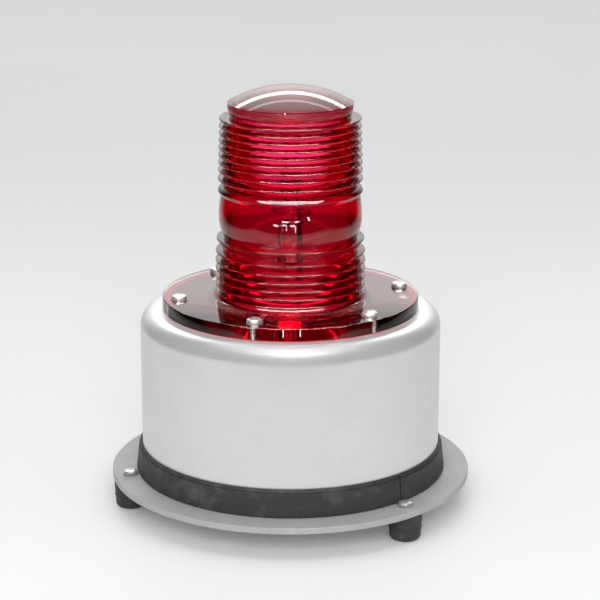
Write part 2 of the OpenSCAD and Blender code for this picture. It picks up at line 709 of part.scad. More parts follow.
// The route rises from the first electrode, winds round, and comes down into the second
function coil_route() = let(
    turns = coil_half_turns / 2,
    low = electrode_z[0] + electrode_l - cup_depth,
    high = electrode_z[1] + electrode_l - cup_depth,
    foot = [-rod_pitch / 2, 0, low],
    top = [rod_pitch / 2, 0, high],
    lead = 70,
    enter = [coil_r * cos(180 + lead), coil_r * sin(180 + lead), coil_base + coil_pitch * lead / 360],
    leave_a = 180 + 360 * turns - lead,
    leave = [coil_r * cos(leave_a), coil_r * sin(leave_a), coil_base + coil_pitch * (turns - lead / 360)])
    concat(
        [foot],
        bend(foot + [0, 0, coil_d], foot + [0, 0, coil_d + 5] + [-1.5, -4, 0], enter, 7),
        [for (i = [1:round((turns * 360 - 2 * lead) / 15) - 1]) let(a = 180 + lead + 15 * i)
            [coil_r * cos(a), coil_r * sin(a), coil_base + coil_pitch * (a - 180) / 360]],
        bend(leave, top + [0, 0, coil_d + 7] + [1.5, 4, 0], top + [0, 0, coil_d], 7),
        [top]);
module flash_helix() {
    route = coil_route();
    spacing = [for (i = [0:len(route) - 1]) for (j = [i + 12:1:len(route) - 1]) norm(route[i] - route[j])];
    echo(least_gap_of_the_coil = min(spacing) - coil_d);
    color([0.95, 0.95, 0.97, 0.6]) swept(route, coil_d / 2, 6);
}
module trigger_wire() {
    x = pin_places[2][0];
    y = pin_places[2][1];
    color([0.7, 0.6, 0.4]) translate([x, y, 0])
        drill(trigger_d / 2, base_top - rod_sink, coil_base + coil_pitch);
}

// Storage capacitors and their clamps
module capacitors() {
    color([0.55, 0.57, 0.6]) at(cap_places) translate([0, 0, deck_level]) {
        rotate_extrude() polygon([
            [0, 0], [cap_d / 2, 0], [cap_d / 2, cap_h - 1.5], [cap_d / 2 - 1.5, cap_h],
            [cap_d / 2 - 3, cap_h], [cap_d / 2 - 3, cap_h - 1], [0, cap_h - 1]]);
        for (s = [-1, 1]) translate([s * 5, 0, cap_h - 1 - EPS]) cylinder(h = 6, d = 4);
    }
}
module capacitor_clamps() {
    color("silver") for (c = cap_places) translate([c[0], c[1], deck_level]) difference() {
        union() {
            cylinder(h = clamp_h, d = cap_d + 2 * clamp_t + 0.2);
            for (s = [0, 1]) translate([-5, s > 0 ? cap_d / 2 : -cap_d / 2 - clamp_t - clamp_ear, 0])
                cube([10, clamp_ear + clamp_t, clamp_t]);
        }
        translate([0, 0, -1]) cylinder(h = clamp_h + 2, d = cap_d + 0.2);
        for (s = [-1, 1]) translate([0, s * (cap_d / 2 + clamp_t + clamp_ear / 2), 0])
            drill(small_hole_r, -1, clamp_t + 1);
    }
}

// Transformer
core_leg = 9;
coil_over = 7;
module transformer_core() {
    window_x = (core_x - 3 * core_leg) / 2;
    color([0.3, 0.3, 0.33]) difference() {
        translate([core_place[0] - core_x / 2, core_place[1] - core_y / 2, deck_level + frame_t])
            cube([core_x, core_y, core_z]);
        for (s = [0, 1])
            translate([core_place[0] + (s > 0 ? core_leg / 2 : -core_leg / 2 - window_x),
                core_place[1] - core_y, deck_level + frame_t + core_leg])
                cube([window_x, 2 * core_y, core_z - 2 * core_leg]);
    }
}
module transformer_coil() {
    window_x = (core_x - 3 * core_leg) / 2;
    height = core_z - 2 * core_leg - 0.6;
    color([0.75, 0.55, 0.25])
        translate([core_place[0], core_place[1], deck_level + frame_t + core_leg + 0.3]) difference() {
            translate([-core_leg / 2 - window_x + 0.3, -core_y / 2 - coil_over, 0])
                cube([core_leg + 2 * window_x - 0.6, core_y + 2 * coil_over, height]);
            translate([-core_leg / 2 - 0.3, -core_y / 2 - 0.3, -1])
                cube([core_leg + 0.6, core_y + 0.6, height + 2]);
        }
}
module transformer_frame() {
    length = core_x + 2 * frame_t;
    color("silver") translate([core_place[0], core_place[1], deck_level]) difference() {
        union() {
            translate([-length / 2 - frame_foot, -7, 0]) cube([length + 2 * frame_foot, 14, frame_t]);
            for (s = [0, 1]) translate([s > 0 ? core_x / 2 : -core_x / 2 - frame_t, -7, 0])
                cube([frame_t, 14, core_z + 2 * frame_t]);
            translate([-length / 2, -7, core_z + frame_t]) cube([length, 14, frame_t]);
        }
        for (s = [-1, 1]) translate([s * (length / 2 + frame_foot / 2), 0, 0])
            drill(small_hole_r, -1, frame_t + 1);
    }
}

// Circuit board and what stands on it
module circuit_board() {
    color([0.1, 0.35, 0.2]) difference() {
        translate([board_left, board_front, board_top - board_t])
            cube([board_x, board_y, board_t]);
        at(board_holes) drill(small_hole_r, board_top - 5, board_top + 1);
    }
}
module board_standoffs() {
    color("gold") at(board_holes) difference() {
        drill(3.4, deck_level, board_top - board_t);
        drill(small_screw_d / 2 + thread_gap, deck_level - 1, board_top);
    }
}
module board_screws() {
    color("gainsboro") at(board_holes) translate([0, 0, board_top])
        screw(small_screw_d, board_t + board_thread, socket_head_d, small_head_h);
}
module power_resistors() {
    color([0.9, 0.9, 0.86]) for (i = [0, 1])
        translate([board_left + 6, board_front + 10 + 13 * i, board_top]) {
            translate([0, 0, 1]) cube([24, 9, 9]);
            for (x = [3, 21]) translate([x, 4.5, 0]) cylinder(h = 1 + EPS, d = 2);
        }
}
module diodes() {
    color([0.15, 0.15, 0.15]) for (i = [0:3])
        translate([board_left + 34, board_front + 12 + 6 * i, board_top + 1.6])
            rotate([0, 90, 0]) {
                cylinder(h = 7, d = 3);
                translate([0, 0, -2.4]) cylinder(h = 11.8, d = 0.8);
                for (z = [-2.4, 8.6]) translate([0, 0, z]) cube([1.6, 0.8, 0.8]);
            }
}
module thyristor() {
    color([0.18, 0.18, 0.19]) translate([board_left + 8, board_front + 38, board_top]) {
        translate([0, 0, 2]) cube([10, 4.5, 9]);
        translate([0, 0, 11 - EPS]) cube([10, 1.3, 6]);
        for (x = [1.6, 4.6, 7.6]) translate([x, 1.6, 0]) cube([0.9, 0.9, 2 + EPS]);
    }
}
module trigger_coil() {
    color([0.6, 0.3, 0.15]) translate([board_left + 26, board_front + 41, board_top]) {
        cylinder(h = 1.6, d = 13);
        translate([0, 0, 1.6 - EPS]) cylinder(h = 11, d = 11);
        translate([0, 0, 12.6 - 2 * EPS]) cylinder(h = 1.6, d = 13);
    }
}
module trigger_capacitor() {
    color([0.75, 0.3, 0.12]) translate([board_left + 19, board_back - 12, board_top])
        cube([17, 8, 12]);
}
module trimmer_body() {
    color([0.15, 0.3, 0.6]) difference() {
        translate([trimmer_place[0] - trimmer_size / 2, trimmer_place[1] - trimmer_size / 2, board_top])
            cube([trimmer_size, trimmer_size, trimmer_h]);
        translate([trimmer_place[0], trimmer_place[1], board_top + trimmer_h - rotor_sunk])
            cylinder(h = rotor_sunk + 1, d = rotor_d + 2 * rotor_gap);
    }
}
module trimmer_rotor() {
    color([0.95, 0.95, 0.9])
        translate([trimmer_place[0], trimmer_place[1], board_top + trimmer_h - rotor_sunk]) difference() {
            cylinder(h = rotor_sunk + rotor_proud, d = rotor_d);
            translate([-rotor_d / 2 + 0.8, -0.4, rotor_sunk + rotor_proud - 0.9])
                cube([rotor_d - 1.6, 0.8, 2]);
        }
}
module fuse_clips() {
    bore_r = fuse_d / 2 + fuse_gap;
    base_z = board_top;
    axis_z = board_top + fuse_lift;
    color([0.8, 0.75, 0.55]) for (s = [-1, 1])
        translate([fuse_place[0], fuse_place[1] + s * (fuse_l / 2 - fuse_end_l / 2), 0]) difference() {
            translate([-bore_r - clip_t, -clip_w / 2, base_z])
                cube([2 * (bore_r + clip_t), clip_w, axis_z + 0.4 - base_z]);
            translate([0, -clip_w, axis_z]) rotate([-90, 0, 0]) cylinder(h = 2 * clip_w, r = bore_r);
            translate([-bore_r, -clip_w, axis_z]) cube([2 * bore_r, 2 * clip_w, 5]);
        }
}
module fuse_glass() {
    color([0.85, 0.9, 0.9, 0.6])
        translate([fuse_place[0], fuse_place[1] - fuse_l / 2 + fuse_end_l, board_top + fuse_lift])
            rotate([-90, 0, 0]) difference() {
                cylinder(h = fuse_l - 2 * fuse_end_l, d = fuse_d - 0.5);
                translate([0, 0, -1]) cylinder(h = fuse_l, d = fuse_d - 1.6);
            }
}
module fuse_ends() {
    color("silver") for (s = [-1, 1])
        translate([fuse_place[0], fuse_place[1] + s * (fuse_l / 2 - fuse_end_l / 2) - fuse_end_l / 2,
            board_top + fuse_lift]) rotate([-90, 0, 0]) cylinder(h = fuse_end_l, d = fuse_d);
}

// Terminals, earth, and the screws and nuts of the base plate
module terminal_block() {
    x0 = terminal_place[0] - terminal_x / 2;
    y0 = terminal_place[1] - terminal_y / 2;
    color([0.9, 0.88, 0.8]) difference() {
        translate([x0, y0, deck_level]) cube([terminal_x, terminal_y, terminal_z]);
        for (i = [-1:1])
            translate([terminal_place[0] + i * terminal_pitch, terminal_place[1], deck_level]) {
            translate([0, 0, terminal_z - 5]) cylinder(h = 6, d = 5);
            translate([0, -terminal_y, 5]) rotate([-90, 0, 0])
                cylinder(h = 2 * terminal_y, d = wire_d + 1);
        }
        at(terminal_ears)
            drill(small_screw_d / 2 + thread_gap, deck_level - 1, deck_level + block_thread + 0.5);
    }
}
module terminal_screws() {
    color("gainsboro") for (i = [-1:1])
        translate([terminal_place[0] + i * terminal_pitch, terminal_place[1], deck_level + terminal_z - 5])
            difference() {
                cylinder(h = 3.5, d = 4.8);
                translate([-3, -0.4, 2.5]) cube([6, 0.8, 2]);
            }
}
module earth_stud() {
    color("gold") translate([earth_place[0], earth_place[1], 0]) {
        drill(small_screw_d / 2, plate_z - EPS, deck_level + 12);
        translate([0, 0, plate_z - small_head_h]) cylinder(h = small_head_h, d = small_head_d);
        translate([0, 0, deck_level]) cylinder(h = small_nut_h, d = small_nut_af / cos(30), $fn = 6);
        translate([0, 0, deck_level + 5.5]) cylinder(h = small_nut_h, d = small_nut_af / cos(30), $fn = 6);
    }
}
module under_screw(grip) {
    translate([0, 0, plate_z]) rotate([180, 0, 0])
        screw(small_screw_d, plate_t + grip, small_head_d, small_head_h);
}
module plate_screws() {
    color("gainsboro") {
        around(bracket_angles, bracket_screw_r) under_screw(bracket_t + small_nut_h);
        around(pillar_angles, pillar_ring_r) under_screw(pillar_thread);
        at(nut_places) under_screw(frame_t + small_nut_h + 0.5);
        at(board_holes) under_screw(board_thread);
        at(terminal_ears) under_screw(block_thread);
        at(cord_ears) under_screw(2 * block_thread);
    }
}
module plate_nuts() {
    color("gainsboro") for (p = nut_places) translate([p[0], p[1], deck_level + p[2]])
        nut(small_nut_af, small_screw_d / 2 + thread_gap, small_nut_h);
}

// Wires, held between the board, the terminals and the socket
module tube_leads() {
    low = board_top + 0.3;
    high = lamp_deck_z - socket_body_h - 0.3;
    pins = [pin_places[2], pin_places[0], pin_places[1]];
    color([0.55, 0.1, 0.1]) for (i = [0:2]) {
        start = [board_left + 4, board_front + 38 + 5 * i, low];
        end = [pins[i][0], pins[i][1], high];
        rise = start + [0, 0, 30];
        drop = end - [0, 0, 24];
        swept(concat(
            [start],
            bend(start + [0, 0, 3], rise, (rise + drop) / 2, 6),
            [for (p = bend((rise + drop) / 2, drop, end - [0, 0, 3], 6)) if (p != (rise + drop) / 2) p],
            [end]), wire_d / 2, 8);
    }
}
module supply_leads() {
    level = deck_level + 5;
    color([0.15, 0.15, 0.2]) for (i = [0, 1]) {
        start = [terminal_place[0] + (2 * i - 1) * terminal_pitch,
            terminal_place[1] - terminal_y / 2 + 3, level];
        end = [board_left + 26 + 8 * i, board_back - 1.6, board_top + 0.3];
        away = start - [0, 18, 0];
        over = end + [0, 0, 12];
        swept(concat(
            [start],
            bend(start - [0, 3, 0], away, (away + over) / 2, 6),
            [for (p = bend((away + over) / 2, over, end + [0, 0, 3], 6)) if (p != (away + over) / 2) p],
            [end]), wire_d / 2, 8);
    }
}

base_plate();
feet();
foot_screws();
foot_washers();
foot_nuts();
edge_band();
can();
can_brackets();
lens_gasket();
lens();
lens_screws();
lens_washers();
lens_nuts();
cable_grommet();
cord_clamp();
pillars();
tube_deck();
deck_screws();
tube_socket();
socket_screws();
socket_nuts();
tube_base();
tube_pins();
tube_rods();
trigger_wire();
tube_electrodes();
flash_helix();
capacitors();
capacitor_clamps();
transformer_core();
transformer_coil();
transformer_frame();
circuit_board();
board_standoffs();
board_screws();
power_resistors();
diodes();
thyristor();
trigger_coil();
trigger_capacitor();
trimmer_body();
trimmer_rotor();
fuse_clips();
fuse_glass();
fuse_ends();
terminal_block();
terminal_screws();
earth_stud();
plate_screws();
plate_nuts();
tube_leads();
supply_leads();
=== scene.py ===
import math

import bmesh
import bpy
from mathutils import Matrix, Vector


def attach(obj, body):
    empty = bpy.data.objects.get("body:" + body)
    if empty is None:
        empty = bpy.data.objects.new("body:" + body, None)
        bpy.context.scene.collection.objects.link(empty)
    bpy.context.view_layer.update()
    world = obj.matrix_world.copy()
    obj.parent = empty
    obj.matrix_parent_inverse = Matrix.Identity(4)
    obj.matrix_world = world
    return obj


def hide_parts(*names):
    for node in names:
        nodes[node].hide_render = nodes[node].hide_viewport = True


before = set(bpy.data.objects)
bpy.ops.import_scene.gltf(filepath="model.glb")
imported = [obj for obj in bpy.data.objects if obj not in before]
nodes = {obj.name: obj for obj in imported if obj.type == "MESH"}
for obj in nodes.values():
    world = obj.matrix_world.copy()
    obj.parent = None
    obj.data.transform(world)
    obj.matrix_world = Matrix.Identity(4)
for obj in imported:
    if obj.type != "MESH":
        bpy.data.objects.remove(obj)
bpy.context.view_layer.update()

MM = 0.001
scene = bpy.context.scene

# The camera stands a little to the left of the light's own front. Its places are in metres.
TURN = math.radians(-12.4)
CAMERA_BACK = 1.35893
CAMERA_UP = 0.5258
CAMERA_DOWN = math.radians(15.692)
CAMERA_LENS = 120.58
CAMERA_SHIFT = 0.01595


# ---------------------------------------------------------------- node graphs
class Graph:
    """A material's or world's nodes, with short calls to add and join them."""

    def __init__(self, owner, fresh=True):
        owner.use_nodes = True
        self.tree = owner.node_tree
        if fresh:
            self.tree.nodes.clear()

    def add(self, kind, settings=None, **inputs):
        """Adds a node. An input goes by its name, with _ for a space, or by its number, such as i0."""
        made = self.tree.nodes.new(kind)
        for key, value in (settings or {}).items():
            setattr(made, key, value)
        for key, value in inputs.items():
            self.put(made, key.replace("_", " "), value)
        return made

    def put(self, made, key, value):
        """Joins the input to another node's output, or gives it a fixed value."""
        numbered = key[0] == "i" and key[1:].isdigit()
        socket = made.inputs[int(key[1:])] if numbered else made.inputs[key]
        if isinstance(value, bpy.types.NodeSocket):
            self.tree.links.new(value, socket)
        else:
            socket.default_value = value

    def coords(self, stretch=(1, 1, 1)):
        """Places in metres, stretched along the axes so that a pattern runs one way."""
        place = self.add("ShaderNodeTexCoord").outputs["Object"]
        return self.add("ShaderNodeMapping", Vector=place, Scale=stretch).outputs[0]

    def noise(self, where, scale, detail=3.0, rough=0.55):
        made = self.add("ShaderNodeTexNoise", Vector=where, Scale=scale, Detail=detail, Roughness=rough)
        return made.outputs["Fac"]

    def spread(self, value, low, high, start=0.3, end=0.7):
        """Stretches the value's range from start to end over low to high."""
        return self.add("ShaderNodeMapRange", Value=value, From_Min=start, From_Max=end,
                        To_Min=low, To_Max=high).outputs[0]

    def smooth(self, value, low, high, start, end):
        """The same, with a soft start and end."""
        soft = {"interpolation_type": "SMOOTHSTEP"}
        return self.add("ShaderNodeMapRange", soft, Value=value, From_Min=start, From_Max=end,
                        To_Min=low, To_Max=high).outputs[0]

    def maths(self, how, a, b=0.0):
        return self.add("ShaderNodeMath", {"operation": how}, i0=a, i1=b).outputs[0]

    def between(self, value, low, high):
        """1 where the value lies between low and high, else 0."""
        above = self.maths("GREATER_THAN", value, low)
        return self.maths("MULTIPLY", above, self.maths("LESS_THAN", value, high))

    def reach(self, place):
        """How far a place, split into its three shares, lies from the light's own axis."""
        return self.maths("SQRT", self.maths("ADD", self.maths("POWER", place.outputs["X"], 2.0),
                                             self.maths("POWER", place.outputs["Y"], 2.0)))

    def grey(self, level):
        """A grey of the given level."""
        return self.add("ShaderNodeCombineColor", Red=level, Green=level, Blue=level).outputs[0]

    def mix(self, factor, a, b, how="MIX"):
        made = self.add("ShaderNodeMix", {"data_type": "RGBA", "blend_type": how})
        self.put(made, "i0", factor)
        self.put(made, "i6", a)
        self.put(made, "i7", b)
        return made.outputs[2]

    def bump(self, height, distance, normal=None):
        """Relief of the given depth in metres, over another relief where one is given."""
        made = self.add("ShaderNodeBump", Height=height, Distance=distance, Strength=1.0)
        if normal is not None:
            self.put(made, "Normal", normal)
        return made.outputs[0]


def rgb(colour, scale=1.0):
    """The colour as a socket takes it, with its opacity."""
    return (colour[0] * scale, colour[1] * scale, colour[2] * scale, 1.0)


def srgb(r, g, b):
    """A colour written as it shows on a screen, 0 to 255."""
    shares = (r / 255, g / 255, b / 255)
    return tuple(c / 12.92 if c <= 0.04045 else ((c + 0.055) / 1.055) ** 2.4 for c in shares)


GLOSS_SCALE = 180


def surface(name, colour, rough, metallic=0.0, tone=0.12, tone_scale=60, rough_spread=0.08,
            grain=None, stretch=(1, 1, 1), dust=None, marks=0.0, **sockets):
    """A material with uneven tone, uneven gloss, a fine grain in relief and, where asked, dust and marks."""
    made = bpy.data.materials.new(name)
    g = Graph(made)
    where = g.coords(stretch)
    tones = g.spread(g.noise(where, tone_scale, 4), 1 - tone, 1 + tone)
    shade = g.mix(1.0, rgb(colour), g.grey(tones), "MULTIPLY")
    if dust:
        dust_colour, amount, dust_scale = dust
        patches = g.spread(g.noise(g.coords(), dust_scale, 6, 0.65), 0, amount, 0.52, 0.74)
        shade = g.mix(patches, shade, rgb(dust_colour))
    if marks:
        scratches = g.noise(g.coords((1, 9, 3)), 130, 6, 0.8)
        shade = g.mix(g.spread(scratches, 0, marks, 0.62, 0.75), shade, rgb(colour, 0.45))
    gloss = g.spread(g.noise(where, GLOSS_SCALE, 3), rough - rough_spread, rough + rough_spread)
    out = g.add("ShaderNodeOutputMaterial")
    body = g.add("ShaderNodeBsdfPrincipled", Metallic=metallic)
    g.put(body, "Base Color", shade)
    g.put(body, "Roughness", gloss)
    for key, value in sockets.items():
        g.put(body, key.replace("_", " "), value)
    if grain:
        grain_scale, depth = grain
        relief = g.noise(where, grain_scale, 5, 0.6)
        g.put(body, "Normal", g.bump(relief, depth * MM))
    g.put(out, "Surface", body.outputs[0])
    return made


# The lens: nearly clear glass, faintly warm in its depth, with a frosted bore and inner top
GLASS_IOR = 1.5
GLASS_DENSITY = 42.0
GLASS_COLOUR = (0.66, 0.44, 0.40)
BORE_ROUGH = 0.10
TOP_ROUGH = 0.35
BORE_REACH = 43.8 * MM
BORE_TOP = 280.5 * MM
TOP_FACE = 284.0 * MM
BORE_WAVE = 0.10 * MM
SKIN_WAVE = 0.05 * MM
SMEARS = 0.04
FLANGE_TOP = (148.6 * MM, 149.9 * MM)
FLANGE_DUST = 0.30

# The red layer in its wall; its thickness and its gap to the bore are in millimetres
STAIN_DENSITY = 6600.0
STAIN_COLOUR = (0.974, 0.02, 0.50)
STAIN_T = 0.5
LAYER_GAP = 0.1
LAYER_FOOT = 0.3
LAYER_UNDER_TOP = 0.2


def lens_roughness(g, within, height):
    """Smooth outside with a few smears, frosted in the bore and on the flat inner top."""
    in_bore = g.maths("MULTIPLY", within, g.maths("LESS_THAN", height, BORE_TOP))
    in_top = g.maths("MULTIPLY", within, g.between(height, BORE_TOP, TOP_FACE))
    smears = g.spread(g.noise(g.coords((1, 1, 2)), 45, 6, 0.7), 0.0, SMEARS, 0.55, 0.8)
    frost = g.maths("ADD", g.maths("MULTIPLY", in_bore, BORE_ROUGH), g.maths("MULTIPLY", in_top, TOP_ROUGH))
    return in_bore, g.maths("ADD", smears, frost)


def red_glass():
    """The lens's clear glass, which takes its red from the layer in its wall."""
    made = bpy.data.materials.new("red_glass")
    g = Graph(made)
    out = g.add("ShaderNodeOutputMaterial")
    body = g.add("ShaderNodeBsdfPrincipled", IOR=GLASS_IOR)
    place = g.add("ShaderNodeSeparateXYZ", Vector=g.coords())
    height = place.outputs["Z"]
    within = g.maths("LESS_THAN", g.reach(place), BORE_REACH)
    in_bore, roughness = lens_roughness(g, within, height)
    g.put(body, "Base Color", (1.0, 1.0, 1.0, 1.0))
    g.put(body, "Roughness", roughness)
    film = g.spread(g.noise(g.coords(), 420, 5, 0.8), 0.0, 1.0, 0.60, 0.72)
    dust = g.maths("MULTIPLY", g.maths("MULTIPLY", g.between(height, *FLANGE_TOP), film), FLANGE_DUST)
    g.put(body, "Transmission Weight", g.maths("SUBTRACT", 1.0, dust))
    outer = g.bump(g.noise(g.coords((1, 1, 0.6)), 40, 2, 0.4), SKIN_WAVE)
    folds = g.maths("MULTIPLY", g.noise(g.coords((1, 1, 0.08)), 110, 2, 0.4), in_bore)
    g.put(body, "Normal", g.bump(folds, BORE_WAVE, normal=outer))
    depth = g.add("ShaderNodeVolumeAbsorption", Density=GLASS_DENSITY)
    g.put(depth, "Color", rgb(GLASS_COLOUR))
    g.put(out, "Surface", body.outputs[0])
    g.put(out, "Volume", depth.outputs[0])
    return made


def red_layer():
    """The red layer in the clear glass, just outside its bore. Its own faces bend no light."""
    made = bpy.data.materials.new("red_layer")
    g = Graph(made)
    out = g.add("ShaderNodeOutputMaterial")
    depth = g.add("ShaderNodeVolumeAbsorption", Density=STAIN_DENSITY)
    g.put(depth, "Color", rgb(STAIN_COLOUR))
    g.put(out, "Surface", g.add("ShaderNodeBsdfTransparent").outputs[0])
    g.put(out, "Volume", depth.outputs[0])
    return made


def clear_glass(name, colour, rough=0.02):
    """Clear glass with a faintly uneven tint and gloss."""
    made = bpy.data.materials.new(name)
    g = Graph(made)
    out = g.add("ShaderNodeOutputMaterial")
    where = g.coords()
    body = g.add("ShaderNodeBsdfPrincipled", IOR=1.46)
    g.put(body, "Base Color", g.mix(g.spread(g.noise(where, 90), 0, 0.4), rgb(colour), rgb(colour, 0.8)))
    g.put(body, "Roughness", g.spread(g.noise(where, 150), rough, rough + 0.06))
    g.put(body, "Transmission Weight", 1.0)
    g.put(out, "Surface", body.outputs[0])
    return made


# The gasket's face under the flange is painted dark as shade, with stains in it; its edge keeps the rubber's
# own red
GASKET_SHADED_FACE = (118, 18, 24)
GASKET_STAIN = (70, 14, 14)
GASKET_RIM = (205, 14, 52)
GASKET_SHADE_END = (83.0 * MM, 85.0 * MM)


def gasket_rubber():
    """Red sheet rubber with painted shade: dark under the flange, and in its own bright red round its edge.
    """
    made = surface("gasket_rubber", srgb(*GASKET_RIM), 0.5, tone=0.1, grain=(700, 0.05))
    g = Graph(made, fresh=False)
    body = [n for n in g.tree.nodes if n.type == "BSDF_PRINCIPLED"][0]
    shade = body.inputs["Base Color"].links[0].from_socket
    # Painted shade: dark under the flange, giving way to the rubber's own red over the ring at its edge
    rim = g.smooth(g.reach(g.add("ShaderNodeSeparateXYZ", Vector=g.coords())), 0, 1, *GASKET_SHADE_END)
    stains = g.spread(g.noise(g.coords(), 60, 5, 0.7), 0, 0.5)
    face = g.mix(stains, rgb(srgb(*GASKET_SHADED_FACE)), rgb(srgb(*GASKET_STAIN)))
    g.put(body, "Base Color", g.mix(rim, face, shade))
    return made


GREY_DUST = (0.42, 0.41, 0.39)
BROWN_DUST = (0.20, 0.15, 0.10)
PLATE_DUST = (0.30, 0.29, 0.28)
BAND_DUST = (0.15, 0.15, 0.15)
FOOT_DUST = (0.10, 0.10, 0.10)

# Colour, roughness and share of metal of each look, with its patterns' strengths and scales
MATERIALS = {
    "red_glass": red_glass(),
    "plate": surface("plate_aluminium", srgb(176, 176, 175), 0.55, 0.15, tone=0.05, tone_scale=35,
                     grain=(900, 0.02), dust=(PLATE_DUST, 0.25, 45), marks=0.12, Specular_IOR_Level=0.25),
    "can": surface("can_silver", srgb(222, 222, 223), 0.36, 0.50, tone=0.025, tone_scale=14,
                   rough_spread=0.05, grain=(1500, 0.008), stretch=(1, 1, 1.4), dust=(GREY_DUST, 0.10, 30)),
    "band": surface("band_rubber", srgb(54, 54, 55), 0.56, tone=0.16, tone_scale=40, grain=(700, 0.06),
                    stretch=(1, 1, 3), dust=(BAND_DUST, 0.5, 45)),
    "foot": surface("foot_rubber", srgb(52, 52, 53), 0.62, tone=0.14, grain=(600, 0.06),
                    dust=(FOOT_DUST, 0.5, 120)),
    "seal": surface("seal_rubber", srgb(36, 36, 37), 0.66, grain=(700, 0.05)),
    "gasket": gasket_rubber(),
    "deck": surface("deck_enamel", srgb(236, 234, 228), 0.3, tone=0.03, tone_scale=30, grain=(500, 0.02),
                    dust=(BROWN_DUST, 0.08, 60)),
    "zinc": surface("zinc_steel", srgb(190, 190, 184), 0.34, 0.85, tone=0.08, grain=(800, 0.02),
                    dust=(BROWN_DUST, 0.2, 160)),
    "screw": surface("screw_steel", srgb(214, 214, 212), 0.27, 0.7, tone=0.10, tone_scale=300,
                     grain=(1400, 0.015), dust=(BROWN_DUST, 0.35, 420)),
    "bakelite": surface("bakelite", srgb(70, 38, 26), 0.25, tone=0.18, tone_scale=140, grain=(500, 0.02)),
    "steatite": surface("steatite", srgb(222, 216, 202), 0.3, tone=0.05, grain=(420, 0.03),
                        dust=(BROWN_DUST, 0.1, 80)),
    "brass": surface("turned_brass", srgb(206, 172, 96), 0.26, 0.95, tone=0.10, tone_scale=240,
                     grain=(900, 0.015), stretch=(1, 1, 6)),
    "rod": surface("oxidised_steel", srgb(74, 70, 68), 0.36, 0.7, tone=0.2, tone_scale=200,
                   grain=(900, 0.02)),
    "copper": surface("tinned_copper", srgb(176, 130, 100), 0.32, 0.9, tone=0.12, tone_scale=400,
                      grain=(900, 0.01)),
    "sleeve": surface("capacitor_sleeve", srgb(58, 92, 150), 0.22, tone=0.06, grain=(350, 0.02)),
    "core": surface("core_steel", srgb(66, 66, 68), 0.5, 0.2, tone=0.3, tone_scale=900,
                    stretch=(0.02, 1, 0.02), grain=(1600, 0.08)),
    "wrap": surface("coil_wrap", srgb(190, 160, 96), 0.36, tone=0.14, tone_scale=220, stretch=(1, 1, 4),
                    grain=(500, 0.08)),
    "laminate": surface("board_laminate", srgb(150, 108, 62), 0.32, tone=0.10, tone_scale=320,
                        stretch=(1, 5, 1), grain=(700, 0.02)),
    "cement": surface("cement_ceramic", srgb(226, 222, 210), 0.55, tone=0.06, grain=(900, 0.08)),
    "black": surface("black_plastic", srgb(44, 44, 46), 0.42, tone=0.10, grain=(900, 0.03)),
    "orange": surface("orange_film", srgb(200, 92, 40), 0.2, tone=0.08, grain=(200, 0.05)),
    "winding": surface("coil_varnish", srgb(120, 62, 40), 0.3, tone=0.2, tone_scale=600, stretch=(1, 1, 12),
                       grain=(900, 0.1)),
    "blue": surface("blue_plastic", srgb(60, 104, 170), 0.36, tone=0.06, grain=(900, 0.02)),
    "white": surface("white_plastic", srgb(226, 225, 218), 0.38, tone=0.04, grain=(700, 0.02)),
    "bronze": surface("tinned_bronze", srgb(200, 184, 150), 0.3, 0.9, tone=0.08, grain=(900, 0.02)),
    "nickel": surface("nickel_cap", srgb(214, 210, 202), 0.2, 0.95, tone=0.06, tone_scale=500,
                      grain=(900, 0.01)),
    "red_wire": surface("red_wire", srgb(158, 44, 36), 0.4, tone=0.08, grain=(600, 0.02)),
    "black_wire": surface("black_wire", srgb(48, 48, 50), 0.4, tone=0.1, grain=(600, 0.02)),
    "clear": clear_glass("clear_glass", (0.97, 0.98, 0.98)),
    "quartz": clear_glass("flash_quartz", (0.93, 0.92, 0.9)),
}

# The nodes that each look goes on
DRESS = {
    "plate": ["base_plate"],
    "deck": ["tube_deck"],
    "gasket": ["lens_gasket"],
    "can": ["can"],
    "band": ["edge_band"],
    "foot": ["feet"],
    "seal": ["cable_grommet"],
    "zinc": ["foot_washers", "foot_nuts", "can_brackets", "lens_washers", "lens_nuts", "pillars",
             "socket_nuts", "capacitor_clamps", "transformer_frame", "terminal_screws", "plate_nuts"],
    "screw": ["foot_screws", "lens_screws", "deck_screws", "socket_screws", "board_screws", "plate_screws"],
    "red_glass": ["lens"],
    "bakelite": ["tube_base"],
    "steatite": ["tube_socket"],
    "brass": ["tube_pins", "board_standoffs", "earth_stud"],
    "rod": ["tube_rods", "tube_electrodes"],
    "copper": ["trigger_wire"],
    "quartz": ["flash_helix"],
    "sleeve": ["capacitors"],
    "core": ["transformer_core"],
    "wrap": ["transformer_coil"],
    "laminate": ["circuit_board"],
    "cement": ["power_resistors"],
    "black": ["diodes", "thyristor", "cord_clamp"],
    "winding": ["trigger_coil"],
    "orange": ["trigger_capacitor"],
    "blue": ["trimmer_body"],
    "white": ["trimmer_rotor", "terminal_block"],
    "bronze": ["fuse_clips"],
    "clear": ["fuse_glass"],
    "nickel": ["fuse_ends"],
    "red_wire": ["tube_leads"],
    "black_wire": ["supply_leads"],
}


def dress(piece, look):
    """Gives the piece one material in place of any that it has."""
    piece.data.materials.clear()
    piece.data.materials.append(look)


def dress_nodes():
    """Puts its look on every node."""
    for look, names in DRESS.items():
        for name in names:
            dress(nodes[name], MATERIALS[look])


# ---------------------------------------------------------------- lens
# Sizes in millimetres, heights from the flange's underside, angles in degrees
FLANGE_Z = 140.8
FLANGE_R = 89.9
FLANGE_T = 8.5
SCREWS, SCREW_RING, SCREW_HOLE_R = 6, 79.0, 2.75
LOWER_RIBS, LOWER_PITCH, LOWER_R = 7, 5.45, 52.4
UPPER_RIBS, UPPER_PITCH, UPPER_R, UPPER_DRAFT = 10, 5.0, 50.3, 0.15
RIB_DEPTH, RIB_NOSE, NOSE_END = 4.6, 0.9, 75

